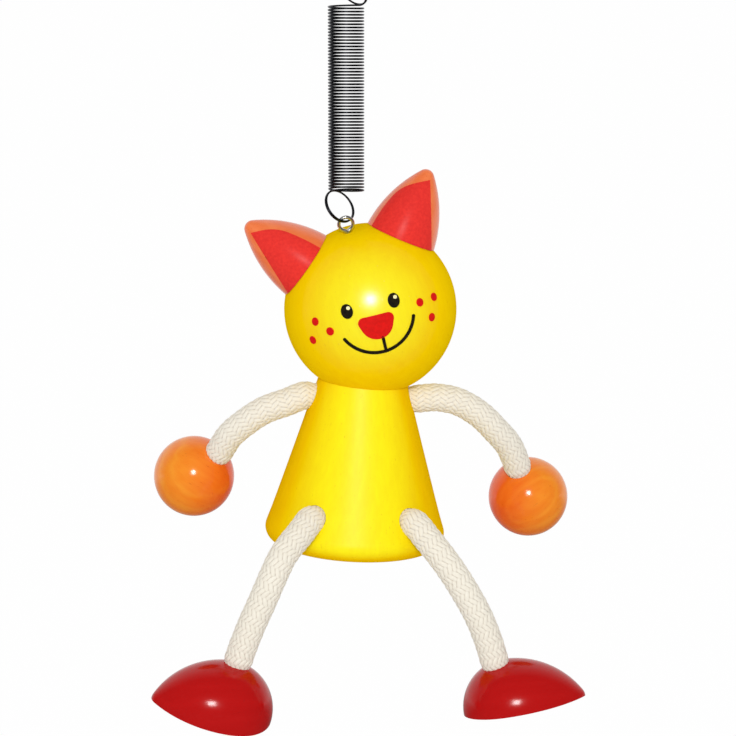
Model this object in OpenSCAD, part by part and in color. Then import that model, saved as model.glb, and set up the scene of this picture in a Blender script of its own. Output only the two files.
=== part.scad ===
// Wooden spring figure: a cat of turned wood with braided cord arms and legs,
// hung by a screw eye in its head from a long, soft extension spring.
//
// Millimetres, +Z up, the cat faces -Y. The origin is the point inside the
// upper end loop of the spring where the loop rests on a hook.

/* [Spring] */
// Outside diameter of the coil
spring_d = 8.6; // [7:0.1:12]
// Wire diameter
wire_d = 0.34; // [0.2:0.01:0.34]
// Turns in the coil
coil_turns = 59.25; // [30.25:1:59.25]
// Length of the coil with the figure hanging on it
coil_len = 44; // [44:0.5:70]
// Direction in which the coil's lower end leaves it
loop_turn = 130; // [90:1:150]
// Part of a full circle that an end loop goes round
loop_sweep = 322; // [300:1:325]

/* [Screw eye] */
// Outside diameter of the ring
ring_d = 4.25; // [3.9:0.05:6]
// Thickness of the ring's wire
ring_wire_d = 0.85; // [0.6:0.05:1]
// Diameter of the shank in the wood
shank_d = 1.1; // [0.8:0.05:1.2]
// Length of the shank in the wood
shank_len = 9; // [6:0.5:12]
// Width that the countersink adds to the shank's hole
sink_w = 2.2; // [1.4:0.1:2.6]
// Lean of the shank, forwards from the crown of the head
eye_lean = 16.6; // [0:0.2:25]

/* [Head] */
// Diameter of the head ball
head_d = 42; // [38:0.5:46]
// Lean of the head to its right side
head_roll = 16; // [0:1:25]
// Lean of the head backwards
head_nod = 4; // [0:1:10]
// Turn of the head to its right side
head_turn = 2; // [0:1:10]

/* [Ears] */
// Largest diameter of an ear
ear_d = 17.2; // [14:0.1:19]
// Radius of the ear's curved side
ear_curve_r = 32; // [29:0.5:40]
// Radius of the ear's tip
ear_tip_r = 2; // [1:0.1:3]
// Angle between the crown and an ear
ear_spread = 40; // [36:1:46]
// Lean of the ears backwards
ear_back = 14; // [0:1:20]
// Diameter of the dowel that holds an ear
ear_peg_d = 4; // [3:0.1:5]
// Length of that dowel
ear_peg_len = 9; // [7:0.5:11]
// Height of the painted triangle's lower edge above the ear's base, at its sides
ear_paint_rise = 1.7; // [1:0.1:3]

/* [Face] */
// Thickness of the printed paint
paint_t = 0.1; // [0.05:0.01:0.2]
// Width of an eye
eye_w = 2.8; // [2:0.1:4]
// Height of an eye
eye_h = 3.5; // [2.6:0.1:5]
// Distance between the middles of the eyes
eye_gap = 11.5; // [8:0.1:14]
// Width of the nose
nose_w = 8.8; // [6:0.1:10]
// Height of the nose
nose_h = 4.9; // [3.6:0.1:6]
// Radius of the smile
smile_r = 9.4; // [8.4:0.1:11]
// Width of the painted lines
line_w = 0.65; // [0.4:0.05:1]
// Diameter of a freckle
freckle_d = 1.8; // [1.2:0.1:2.4]

/* [Body] */
// Height of the body's side
body_h = 42; // [38:0.5:50]
// Largest diameter, near the bottom
body_d = 43.2; // [40:0.2:48]
// Diameter at the neck
neck_d = 22; // [20:0.2:26]
// Rounding of the bottom edge
body_edge_r = 4.3; // [2:0.1:6]
// Lean of the body to its left side
body_lean = 3; // [0:0.5:8]
// Distance of the head's middle from the body's axis
head_shift = 1; // [0:0.1:1.5]
// Diameter of the dowel between head and body
dowel_d = 6; // [4:0.1:6.5]
// Length of that dowel
dowel_len = 16; // [12:0.5:20]

/* [Limbs] */
// Diameter of the cord
cord_d = 7; // [6.4:0.1:7.4]
// Diameter of the bores that the cord is glued into
bore_d = 6.2; // [5.8:0.1:6.3]
// Depth of the bores in the hands and feet
seat_depth = 6.5; // [5:0.1:7.5]
// Diameter of a hand
hand_d = 20; // [17:0.5:22]
// Radius of the turned egg that a foot is half of
foot_r = 11.5; // [10:0.1:13]
// Length of the foot from its thickest place to the toe
toe_len = 17.8; // [16:0.1:20]
// Radius of the toe's tip
toe_tip_r = 1.2; // [0.8:0.1:1.8]

/* [Hidden] */

$fn = 96;

yellow = "gold";
orange = "darkorange";
red = "crimson";
cream = "ivory";
steel = "dimgray";
nickel = "silver";
beech = "burlywood";

glue = 0.02;
slack = 0.05;

// Where the cords run, in the body's own frame: its axis is x = y = 0, and z is
// measured from the neck for the arms and from the base for the legs. The first
// run of each route lies in the body and the last run in the hand or foot.
arm_points_left = [
    [-6, 0, -4], [-13, 0, -4], [-18.5, 0, -5.5], [-24, 0.5, -8], [-29, 1.5, -12],
    [-32, 3, -15.5], [-34.5, 5.5, -20.5], [-38, 8.5, -25]
];
arm_points_right = [
    [6, 0, -4], [13, 0, -4], [18.5, 0, -3.5], [24, 0.5, -4.5], [29.5, 1, -7.5],
    [34, 2, -11.5], [38, 4, -16], [41, 6.5, -22], [43.5, 9.5, -27.5]
];
leg_route_left = [
    [-7, -10, 11], [-12, -17, 11], [-15.5, -21, 8.5], [-19.5, -24.5, 4],
    [-22, -26, -1], [-24.5, -26.5, -7.5], [-27, -26.5, -14], [-29.5, -26.5, -22.5],
    [-31, -26.5, -29]
];
leg_route_right = [
    [7, -10, 11], [12, -17, 11], [15.5, -21, 8], [20, -24.5, 3],
    [24, -26, -2.5], [28, -26.5, -9], [31, -26.5, -15.5], [33, -26.5, -21],
    [35.5, -26.5, -27]
];
// Yaw, pitch and roll of the feet on the cords
foot_turn_left = [8, -8, 192];
foot_turn_right = [-4, -14, -12];

function from_neck(points) = [for (p = points) p + [0, 0, body_h]];
arm_route_left = from_neck(arm_points_left);
arm_route_right = from_neck(arm_points_right);

// Vector helpers
function unit(v) = v / norm(v);
function turned(v, a) =
    let (
        p = [v.x, v.y * cos(a.x) - v.z * sin(a.x), v.y * sin(a.x) + v.z * cos(a.x)],
        q = [p.x * cos(a.y) + p.z * sin(a.y), p.y, p.z * cos(a.y) - p.x * sin(a.y)]
    )
    [q.x * cos(a.z) - q.y * sin(a.z), q.x * sin(a.z) + q.y * cos(a.z), q.z];
function frame_at(o, x, y) =
    let (z = cross(x, y))
    [[x.x, y.x, z.x, o.x], [x.y, y.y, z.y, o.y], [x.z, y.z, z.z, o.z], [0, 0, 0, 1]];

// Spring: a left-hand coil whose end loops lean in until they cross its axis.
// Each loop goes round twice, so its two strands lie side by side.
coil_r = (spring_d - wire_d) / 2;
loop_lean = 30;
loop_drop = 2 * coil_r * cos(loop_lean);
coil_top = wire_d / 2 - loop_drop;
coil_bottom = coil_top - coil_len;
strand_step = 0.92 * wire_d;
rings_per_turn = 8;
wire_sides = 6;
coil_rings = round(coil_turns * rings_per_turn);
coil_pitch = coil_len / coil_turns;

function radial(a) = [cos(a), sin(a), 0];
function along(a) = [-sin(a), cos(a), 0];

// The screw eye hangs midway between the two strands of the lower loop
link_pos = [0, 0, coil_bottom - loop_drop]
    + strand_step / 2 * (cos(loop_lean) * radial(loop_turn) - [0, 0, sin(loop_lean)]);
function coil_angle(i) = loop_turn - (coil_rings - i) * 360 / rings_per_turn;
function coil_point(i) =
    coil_r * radial(coil_angle(i)) + [0, 0, coil_top - coil_len * i / coil_rings];
function coil_tangent(i) =
    unit(2 * PI * coil_r * along(coil_angle(i)) - [0, 0, coil_pitch]);
// The tube starts and ends with a straight run, square to the loop it meets
coil_path = [
    coil_point(0),
    coil_point(0) + wire_d * along(coil_angle(0)),
    for (i = [1 : coil_rings - 1]) coil_point(i),
    coil_point(coil_rings) - wire_d * along(loop_turn),
    coil_point(coil_rings)
];
coil_tangents = [
    along(coil_angle(0)),
    along(coil_angle(0)),
    for (i = [1 : coil_rings - 1]) coil_tangent(i),
    along(loop_turn),
    along(loop_turn)
];

// Points of a tube along a path, one ring of them at each point
function ring_points(p, t, ref, r, n) =
    let (u = unit(cross(t, ref)), v = cross(t, u))
    [for (k = [0 : n - 1]) p + r * (cos(360 * k / n) * u + sin(360 * k / n) * v)];
function tube_faces(rings, n) = [
    for (i = [0 : rings - 2], k = [0 : n - 1])
        [i * n + k, i * n + (k + 1) % n, (i + 1) * n + k],
    for (i = [0 : rings - 2], k = [0 : n - 1])
        [i * n + (k + 1) % n, (i + 1) * n + (k + 1) % n, (i + 1) * n + k],
    for (k = [1 : n - 2]) [0, k + 1, k],
    for (k = [1 : n - 2])
        [(rings - 1) * n, (rings - 1) * n + k, (rings - 1) * n + k + 1]
];

// Least gap from the coil to its own next turn, measured on the path's points
coil_gap = min([
    for (i = [0 : len(coil_path) - rings_per_turn - 2], k = [-1 : 1])
        if (i + rings_per_turn + k > i + 6)
            norm(coil_path[i] - coil_path[i + rings_per_turn + k])
]) - wire_d;
echo(least_gap_between_turns = coil_gap);

// Head: the ball hangs below the ring, along the screw eye's shank
head_r = head_d / 2;
head_angles = [-head_nod, -head_roll, -head_turn];
ring_r = (ring_d - ring_wire_d) / 2;
ring_mouth = 36;
ring_apex = ring_r / cos(ring_mouth);
ring_play = 0.32;
ring_normal = turned([0, cos(eye_lean), sin(eye_lean)], head_angles);
ring_up = unit([0, 0, 1] - ring_normal.z * ring_normal);
ring_pos = link_pos
    - (ring_r - (ring_wire_d + wire_d + strand_step) / 2 - ring_play) * ring_up;
ring_stand = ring_apex - 0.15;
eye_axis = turned([0, -sin(eye_lean), cos(eye_lean)], head_angles);
head_pos = ring_pos - (head_r + ring_stand) * eye_axis;

// Body: a cone whose side meets the rounded bottom edge without a corner
base_r = body_d / 2;
neck_r = neck_d / 2;
edge_x = base_r - body_edge_r;
side_run = edge_x - neck_r;
side_rise = body_h - body_edge_r;
side_angle = atan2(side_run, side_rise)
    + asin(body_edge_r / norm([side_run, side_rise]));
neck_spare = 3;
// The ball's middle stands as high as its round seat in the neck asks for
seat_z = body_h + sqrt(head_r * head_r - neck_r * neck_r);
ball_seat = [head_shift, 0, seat_z];
function on_body(p) = head_pos + turned(p - ball_seat, [0, body_lean, 0]);

// Cords
cord_sides = 12;
cord_steps = 3;
bore_fit = 0.15;
dish_gap = 0.15;
function last_dir(route) = unit(route[len(route) - 1] - route[len(route) - 2]);
function slope(route, i) =
    i == 1 ? unit(route[1] - route[0]) * norm(route[2] - route[1])
    : i == len(route) - 2 ? last_dir(route) * norm(route[i] - route[i - 1])
    : (route[i + 1] - route[i - 1]) / 2;
function blend(route, i, s) =
    (2 * s ^ 3 - 3 * s ^ 2 + 1) * route[i] + (s ^ 3 - 2 * s ^ 2 + s) * slope(route, i)
    + (3 * s ^ 2 - 2 * s ^ 3) * route[i + 1] + (s ^ 3 - s ^ 2) * slope(route, i + 1);
function smooth(route) = [
    route[0],
    for (i = [1 : len(route) - 3], k = [0 : cord_steps - 1]) blend(route, i, k / cord_steps),
    route[len(route) - 2],
    route[len(route) - 1]
];
function heading(path, i) =
    unit(path[min(i + 1, len(path) - 1)] - path[max(i - 1, 0)]);
// The head presses the cord flat where it fills the round seat
function off_ball(p) =
    let (d = p - ball_seat, r = head_r + dish_gap)
    norm(d) < r ? ball_seat + r * unit(d) : p;

// Middle of the hand or foot at the end of a cord
function limb_end(route, r) = route[len(route) - 1] + (r - seat_depth) * last_dir(route);

module at_head() {
    translate(head_pos) rotate(head_angles) children();
}

module at_body() {
    translate(head_pos) rotate([0, body_lean, 0]) translate(-ball_seat) children();
}

module toward(dir) {
    rotate([0, acos(dir.z / norm(dir)), atan2(dir.y, dir.x)]) children();
}

module rod(a, b, d) {
    translate(a) toward(b - a) cylinder(h = norm(b - a), d = d);
}

// Spring
module end_loop(angle, z, way) {
    inward = -sin(loop_lean) * radial(angle) + way * cos(loop_lean) * [0, 0, 1];
    start = coil_r * radial(angle) + [0, 0, z];
    color(steel)
        multmatrix(frame_at(start + coil_r * inward, -inward, -way * along(angle)))
            rotate_extrude(angle = loop_sweep)
                for (strand = [0, 1])
                    translate([coil_r, -strand * strand_step]) circle(d = wire_d, $fn = 24);
}

module spring_top_loop() {
    end_loop(coil_angle(0), coil_top, 1);
}

module spring_bottom_loop() {
    end_loop(loop_turn, coil_bottom, -1);
}

module spring_coil() {
    n = len(coil_path);
    points = [
        for (i = [0 : n - 1])
            each ring_points(coil_path[i], coil_tangents[i], [0, 0, 1], wire_d / 2, wire_sides)
    ];
    color(steel) polyhedron(points, tube_faces(n, wire_sides));
}

// Screw eye: a bent ring whose two strands close in a point over the shank
module screw_eye() {
    apex = [0, 0, -ring_apex];
    side = ring_r * sin(ring_mouth);
    low = -ring_r * cos(ring_mouth);
    color(nickel)
        translate(ring_pos) rotate(head_angles) rotate([eye_lean, 0, 0]) {
            rotate([90, 0, 0])
                rotate_extrude(angle = 360 - 2 * ring_mouth, start = ring_mouth - 90)
                    translate([ring_r, 0]) circle(d = ring_wire_d, $fn = 24);
            for (s = [-1, 1]) {
                rod([s * side, 0, low], apex, ring_wire_d);
                translate([s * side, 0, low]) sphere(d = ring_wire_d + slack);
            }
            translate(apex) sphere(d = shank_d);
            translate(apex - [0, 0, shank_len - shank_d]) cylinder(h = shank_len - shank_d, d = shank_d);
            translate(apex - [0, 0, shank_len])
                cylinder(h = shank_d, d1 = shank_d / 5, d2 = shank_d);
        }
}

// Head
module screw_hole() {
    rotate([eye_lean, 0, 0]) {
        translate([0, 0, head_r - shank_len - 0.5])
            cylinder(h = shank_len + 1, d = shank_d + 4 * slack);
        translate([0, 0, head_r - 0.7])
            cylinder(h = 1, d1 = shank_d + 4 * slack, d2 = shank_d + 4 * slack + sink_w);
    }
}

module at_ear(side) {
    rotate([-ear_back, side * ear_spread, 0]) children();
}

module ear_peg_form(spare) {
    translate([0, 0, head_r - ear_peg_len / 2 - 1 - spare])
        cylinder(h = ear_peg_len + 2 * spare, d = ear_peg_d + spare);
}

module dowel_form(spare) {
    translate([head_shift, 0, seat_z - head_r - dowel_len / 2 - spare])
        cylinder(h = dowel_len + 2 * spare, d = dowel_d + spare);
}

module head() {
    color(yellow) difference() {
        translate(head_pos) sphere(r = head_r);
        at_head() screw_hole();
        at_head() for (side = [-1, 1]) at_ear(side) ear_peg_form(2 * slack);
        at_body() dowel_form(2 * slack);
    }
}

module neck_dowel() {
    color(beech) at_body() dowel_form(0);
}

// Ears: a pointed arch turned about its axis, with a small round tip
ear_foot = 16;
ear_drop = ear_curve_r - ear_d / 2;
ear_tip_z = sqrt((ear_curve_r - ear_tip_r) ^ 2 - ear_drop ^ 2);

module ear_profile(grow) {
    reach = (ear_tip_r + grow) / (ear_curve_r - ear_tip_r);
    tangent_z = ear_tip_z + reach * ear_tip_z;
    intersection() {
        translate([-ear_drop, 0]) circle(r = ear_curve_r + grow, $fn = 256);
        square([ear_d, tangent_z]);
    }
    intersection() {
        translate([0, ear_tip_z]) circle(r = ear_tip_r + grow);
        square([ear_d, ear_tip_z + 2 * ear_tip_r]);
    }
}

module ear_form(grow) {
    translate([0, 0, ear_foot]) rotate_extrude() ear_profile(grow);
}

module ear(side) {
    color(orange) at_head() difference() {
        at_ear(side) ear_form(0);
        sphere(r = head_r + glue);
        at_ear(side) ear_peg_form(2 * slack);
    }
}

module ear_peg(side) {
    color(beech) at_head() at_ear(side) ear_peg_form(0);
}

// The painted triangle sits off-centre, towards the outer side of the ear
module ear_paint(side) {
    inner = 0.8 * ear_d / 2;
    outer = 0.92 * ear_d / 2;
    paint_foot = ear_paint_rise / 2;
    color(red) at_head() difference() {
        at_ear(side) intersection() {
            ear_form(glue + paint_t);
            rotate([90, 0, 0]) linear_extrude(ear_d)
                polygon([
                    [-side * inner, ear_foot + paint_foot],
                    [side * outer, ear_foot + paint_foot],
                    [side * outer, ear_foot + paint_foot + ear_paint_rise],
                    [side * ear_tip_r / 2, ear_foot + ear_tip_z]
                ]);
        }
        at_ear(side) ear_form(glue);
        sphere(r = head_r + glue);
    }
}

// Face, printed on the ball
module paint(level) {
    difference() {
        sphere(r = head_r + glue + paint_t + level);
        sphere(r = head_r + glue + level);
    }
}

module printed(level) {
    at_head() intersection() {
        paint(level);
        rotate([0, face_tilt, 0]) rotate([90, 0, 0]) linear_extrude(head_r + 1) children();
    }
}

face_tilt = 2.8;
eye_z = 2.4;
nose_top = -0.9;
nose_corner_r = 1.2;
smile_mid = [0.4, -0.2];
smile_ends = [202, 342];

module eye(side) {
    color("black") printed(0)
        translate([side * eye_gap / 2, eye_z]) scale([eye_w / eye_h, 1]) circle(d = eye_h);
}

module eye_glints() {
    color("lemonchiffon") printed(paint_t + glue)
        for (side = [-1, 1])
            translate([side * eye_gap / 2 + eye_w * 0.17, eye_z + eye_h * 0.23])
                circle(d = eye_w * 0.32, $fn = 32);
}

nose_steps = 6;
function side_angle_of(a, b) = let (d = unit(b - a)) atan2(-d.x, d.y);

module nose() {
    mids = [
        [nose_w / 2 - nose_corner_r, nose_top - nose_corner_r],
        [nose_corner_r - nose_w / 2, nose_top - nose_corner_r],
        [0, nose_top - nose_h + nose_corner_r]
    ];
    color(red) printed(0)
        polygon([
            for (i = [0 : 2])
                let (
                    a = side_angle_of(mids[(i + 2) % 3], mids[i]),
                    sweep = (side_angle_of(mids[i], mids[(i + 1) % 3]) - a + 360) % 360
                )
                for (k = [0 : nose_steps])
                    let (t = a + sweep * k / nose_steps)
                    mids[i] + nose_corner_r * [cos(t), sin(t)]
        ]);
}

module smile_bar() {
    translate(smile_mid)
        rotate_extrude(angle = smile_ends[1] - smile_ends[0], start = smile_ends[0])
            translate([smile_r - line_w / 2, 0]) square([line_w, head_r + 1]);
}

module mouth() {
    line_top = nose_top - nose_h - 2 * glue;
    line_end = smile_mid.y - smile_r;
    color("black") at_head() intersection() {
        paint(0);
        rotate([0, face_tilt, 0]) rotate([90, 0, 0]) {
            smile_bar();
            translate([-line_w / 2, line_end, 0])
                cube([line_w, line_top - line_end, head_r + 1]);
        }
    }
}

// Middles of the freckles, seen from the front, in parts of the head's radius
freckle_spots = head_r * [
    [-0.643, 0.071], [-0.505, -0.067], [-0.719, -0.133],
    [0.552, 0.014], [0.724, 0.024], [0.648, -0.19]
];

module freckles() {
    color(red) at_head() intersection() {
        paint(0);
        rotate([0, face_tilt, 0])
            for (p = freckle_spots)
                toward([p.x, -sqrt(head_r ^ 2 - p.x ^ 2 - p.y ^ 2), p.y])
                    translate([0, 0, head_r - 1]) cylinder(h = 2, d = freckle_d);
    }
}

// Body
module bore(route, from_end) {
    tip = from_end ? route[len(route) - 1] : route[0];
    mouth = from_end ? route[len(route) - 2] : route[1];
    out = unit(mouth - tip);
    rod(tip - bore_fit * out, mouth + bore_d * out, bore_d);
}

module body() {
    tangent = [edge_x, body_edge_r] + body_edge_r * [cos(side_angle), sin(side_angle)];
    color(yellow) at_body() difference() {
        rotate_extrude() {
            polygon([
                [0, 0],
                [edge_x, 0],
                [edge_x, body_edge_r],
                tangent,
                [neck_r - neck_spare * tan(side_angle), body_h + neck_spare],
                [0, body_h + neck_spare]
            ]);
            translate([edge_x, body_edge_r]) circle(r = body_edge_r);
        }
        translate(ball_seat) sphere(r = head_r + glue);
        dowel_form(2 * slack);
        bore(arm_route_left, false);
        bore(arm_route_right, false);
        bore(leg_route_left, false);
        bore(leg_route_right, false);
    }
}

// Cords: full width in the open, squeezed where they go into the wood
module cord(route) {
    path = smooth(route);
    n = len(path);
    ref = cross(route[1] - route[0], last_dir(route));
    thin = bore_d / 2 - bore_fit;
    radii = [for (i = [0 : n - 1]) i < 2 || i > n - 3 ? thin : cord_d / 2];
    points = [
        for (i = [0 : n - 1])
            for (p = ring_points(path[i], heading(path, i), ref, radii[i], cord_sides))
                off_ball(p)
    ];
    color(cream) at_body() polyhedron(points, tube_faces(n, cord_sides));
}

module hand(route) {
    color(orange) at_body() difference() {
        translate(limb_end(route, hand_d / 2)) sphere(d = hand_d);
        bore(route, true);
    }
}

// Feet: one half of a turned egg, pointed at the toe
toe_curve_r = (toe_len ^ 2 - 2 * toe_len * toe_tip_r + foot_r ^ 2)
    / (2 * (foot_r - toe_tip_r));
toe_drop = toe_curve_r - foot_r;
toe_tip_z = toe_len - toe_tip_r;

module foot_profile() {
    reach = toe_curve_r / (toe_curve_r - toe_tip_r);
    intersection() {
        circle(r = foot_r);
        translate([0, -foot_r]) square([foot_r, foot_r]);
    }
    intersection() {
        translate([-toe_drop, 0]) circle(r = toe_curve_r, $fn = 192);
        square([foot_r, reach * toe_tip_z]);
    }
    intersection() {
        translate([0, toe_tip_z]) circle(r = toe_tip_r);
        square([foot_r, toe_len]);
    }
}

module foot(route, angles) {
    color(red) at_body() difference() {
        translate(limb_end(route, foot_r)) rotate(angles)
            intersection() {
                rotate([0, 90, 0]) rotate_extrude() foot_profile();
                translate([-foot_r - 1, -foot_r - 1, 0])
                    cube([foot_r + toe_len + 2, 2 * foot_r + 2, foot_r + 1]);
            }
        bore(route, true);
    }
}

spring_top_loop();
spring_coil();
spring_bottom_loop();
screw_eye();
head();
ear(-1);  // ear_left
ear(1);  // ear_right
ear_peg(-1);  // ear_peg_left
ear_peg(1);  // ear_peg_right
ear_paint(-1);  // ear_paint_left
ear_paint(1);  // ear_paint_right
eye(-1);  // eye_left
eye(1);  // eye_right
eye_glints();
nose();
mouth();
freckles();
neck_dowel();
body();
cord(arm_route_left);  // arm_rope_left
cord(arm_route_right);  // arm_rope_right
hand(arm_route_left);  // hand_left
hand(arm_route_right);  // hand_right
cord(leg_route_left);  // leg_rope_left
cord(leg_route_right);  // leg_rope_right
foot(leg_route_left, foot_turn_left);  // foot_left
foot(leg_route_right, foot_turn_right);  // foot_right
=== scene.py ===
import math
from math import cos, pi, radians, sin

import bmesh
import bpy
import numpy as np
from mathutils import Euler, Matrix, Vector


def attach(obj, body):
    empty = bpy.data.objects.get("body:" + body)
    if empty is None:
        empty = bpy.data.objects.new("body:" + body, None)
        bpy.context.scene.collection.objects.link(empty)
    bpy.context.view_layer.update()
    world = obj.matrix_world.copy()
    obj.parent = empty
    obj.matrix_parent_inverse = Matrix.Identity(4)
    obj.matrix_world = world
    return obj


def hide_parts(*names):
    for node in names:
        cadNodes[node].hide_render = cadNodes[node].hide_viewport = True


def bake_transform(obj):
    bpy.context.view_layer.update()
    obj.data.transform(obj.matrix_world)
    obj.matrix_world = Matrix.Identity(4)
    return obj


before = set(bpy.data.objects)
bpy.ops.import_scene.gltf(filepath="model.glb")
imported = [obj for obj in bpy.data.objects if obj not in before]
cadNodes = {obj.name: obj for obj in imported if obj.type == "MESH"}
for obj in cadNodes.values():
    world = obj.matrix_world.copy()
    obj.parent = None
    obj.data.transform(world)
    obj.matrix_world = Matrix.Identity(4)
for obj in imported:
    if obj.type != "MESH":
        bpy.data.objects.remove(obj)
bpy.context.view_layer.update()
scene = bpy.context.scene
mm = 0.001
print("spring cat: frame loaded,", len(cadNodes), "nodes")

photoView = {
    "place": (-0.047711, -0.570504, 0.012143),
    "target": (0.004609, -0.006574, -0.092827),
    "lens": 117.39,
}


def newObject(name, data):
    item = bpy.data.objects.new(name, data)
    scene.collection.objects.link(item)
    return item


def asMesh(shape, name):
    mesh = bpy.data.meshes.new(name)
    shape.to_mesh(mesh)
    shape.free()
    return mesh


def evaluated(item):
    graph = bpy.context.evaluated_depsgraph_get()
    return bpy.data.meshes.new_from_object(
        item.evaluated_get(graph), preserve_all_data_layers=True, depsgraph=graph)


def makeCamera(size):
    data = bpy.data.cameras.new("photoCamera")
    data.sensor_width = 36
    data.lens = size["lens"]
    data.clip_start = 0.01
    data.clip_end = 200
    camera = newObject("photoCamera", data)
    camera.location = size["place"]
    look = Vector(size["target"]) - Vector(size["place"])
    camera.rotation_euler = look.to_track_quat("-Z", "Y").to_euler()
    scene.camera = camera


makeCamera(photoView)

# where the parts stand, in millimetres as on the drawing
figure = {
    "headMiddle": (6.2543, 5.0237, -80.3605),
    "headRadius": 21.0,
    "neckGap": 0.12,
    "headTurn": (-4, -16, -2),
    "bodySeat": (1, 0, 59.8885),
    "bodyLean": 3,
}
headMiddle = Vector(figure["headMiddle"])


def inDegrees(angles):
    return Euler([radians(a) for a in angles], "XYZ").to_matrix()


headTurn = inDegrees(figure["headTurn"])
bodyTurn = Matrix.Rotation(radians(figure["bodyLean"]), 3, "Y")


def onBody(p):
    return (headMiddle + bodyTurn @ (Vector(p) - Vector(figure["bodySeat"]))) * mm


# node tools

class Field:
    # a number that runs through a node tree, so that a formula reads as one
    def __init__(self, tree, socket):
        self.tree = tree
        self.socket = socket

    def op(self, name, *others):
        node = self.tree.nodes.new("ShaderNodeMath")
        node.operation = name
        for slot, value in zip(node.inputs, (self,) + others):
            feed(self.tree, slot, value)
        return Field(self.tree, node.outputs[0])

    def __add__(self, other):
        return self.op("ADD", other)

    def __sub__(self, other):
        return self.op("SUBTRACT", other)

    def __mul__(self, other):
        return self.op("MULTIPLY", other)

    def __truediv__(self, other):
        return self.op("DIVIDE", other)

    def flip(self):
        return self * -1 + 1

    def clamp(self):
        return self.op("MAXIMUM", 0).op("MINIMUM", 1)

    def ramp(self, low, high):
        return ((self - low) * (1 / (high - low))).clamp()

    def mix(self, a, b, how="MIX"):
        # from colour a to colour b
        node = put(self.tree, "ShaderNodeMix", {0: self}, data_type="RGBA", blend_type=how)
        for slot, value in ((6, a), (7, b)):
            if isinstance(value, tuple):
                value = value + (1,)
            feed(self.tree, node.inputs[slot], value)
        return node.outputs[2]

    def bump(self, depth):
        return first(self.tree, "ShaderNodeBump", {
            "Height": self, "Strength": 1.0, "Distance": depth,
        })


def feed(tree, slot, value):
    if isinstance(value, Field):
        value = value.socket
    if isinstance(value, bpy.types.NodeSocket):
        tree.links.new(value, slot)
    else:
        slot.default_value = value


def connect(tree, node, wires):
    for key, value in wires.items():
        feed(tree, node.inputs[key], value)


def put(tree, kind, wires=None, **settings):
    node = tree.nodes.new(kind)
    for key, value in settings.items():
        setattr(node, key, value)
    connect(tree, node, wires or {})
    return node


def first(tree, kind, wires=None, **settings):
    return Field(tree, put(tree, kind, wires, **settings).outputs[0])


def outlets(tree, node):
    return {out.name: Field(tree, out) for out in node.outputs}


socketKinds = {
    float: "Float", int: "Int", tuple: "Vector", bpy.types.Material: "Material",
    type(None): "Geometry",
}


def newGroup(name, kind, inputs, outputs):
    tree = bpy.data.node_groups.new(name, kind)

    def socket(label, way, word):
        return tree.interface.new_socket(label, in_out=way, socket_type="NodeSocket" + word)

    for label, value in inputs.items():
        made = socket(label, "INPUT", socketKinds[type(value)])
        if value is not None:
            made.default_value = value
    for label, word in outputs.items():
        socket(label, "OUTPUT", word)
    return tree, outlets(tree, tree.nodes.new("NodeGroupInput")), tree.nodes.new("NodeGroupOutput")


def noise(tree, vector, scale, detail=3.0, roughness=0.55):
    # a scale of three numbers stretches the pattern
    if isinstance(scale, tuple):
        vector = first(tree, "ShaderNodeVectorMath", {0: vector, 1: scale}, operation="MULTIPLY")
        scale = 1.0
    return first(tree, "ShaderNodeTexNoise", {
        "Vector": vector, "Scale": scale, "Detail": detail, "Roughness": roughness,
    })


def apart(tree, vector):
    return outlets(tree, put(tree, "ShaderNodeSeparateXYZ", {0: vector})).values()


# shader groups that several finishes share

grain = {
    "streaks": (900, 900, 60), "broad": (130, 130, 45), "pores": (2900, 2900, 420),
    "poreFrom": (0.68, 0.76), "pithBeside": (0.011, 0.004), "ringTaper": 0.12, "ringWave": 1.6,
    "lateWood": 2.5, "lateShare": 0.35, "streakTone": 1.6, "broadTone": 0.35, "streakHeight": 0.35,
}


def makeTurnedWood():
    # grain along Z, growth rings about an axis beside the piece, and open pores
    tree, get, out = newGroup("turnedWood", "ShaderNodeTree", {
        "Vector": (0.0, 0.0, 0.0), "Streak": 0.5, "Swirl": 0.3, "Ring Spacing": 0.0022, "Pores": 0.5,
    }, {"Tone": "Float", "Pore": "Float", "Height": "Float"})
    place = get["Vector"]
    streaks = noise(tree, place, grain["streaks"], 4.0, 0.62)
    broad = noise(tree, place, grain["broad"], 2.0)
    x, y, z = apart(tree, place)
    x = x + grain["pithBeside"][0]
    y = y + grain["pithBeside"][1]
    reach = (x * x + y * y + z * z * grain["ringTaper"]).op("SQRT")
    phase = reach / get["Ring Spacing"] + broad * grain["ringWave"]
    rings = (phase * (2 * pi)).op("SINE") * 0.5 + 0.5
    late = rings.op("POWER", grain["lateWood"]) - grain["lateShare"]
    poreNoise = noise(tree, place, grain["pores"], 2.0, 0.5)
    pore = poreNoise.ramp(*grain["poreFrom"]) * get["Pores"]
    tone = (streaks - 0.5) * get["Streak"] * grain["streakTone"]
    tone = tone + late * get["Swirl"] + (broad - 0.5) * grain["broadTone"] + 0.5
    connect(tree, out, {
        "Tone": tone.clamp(), "Pore": pore, "Height": streaks * grain["streakHeight"] - pore,
    })
    return tree


filmScale = {
    "ripple": 260.0, "fine": 1900.0, "fineHeight": 0.05, "fineRough": 0.08, "dustCells": 420.0,
    "dustEdge": (0.09, 0.03), "dustRare": (0.72, 0.8), "dustHeight": 0.25, "dustRough": 0.2,
}


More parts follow.
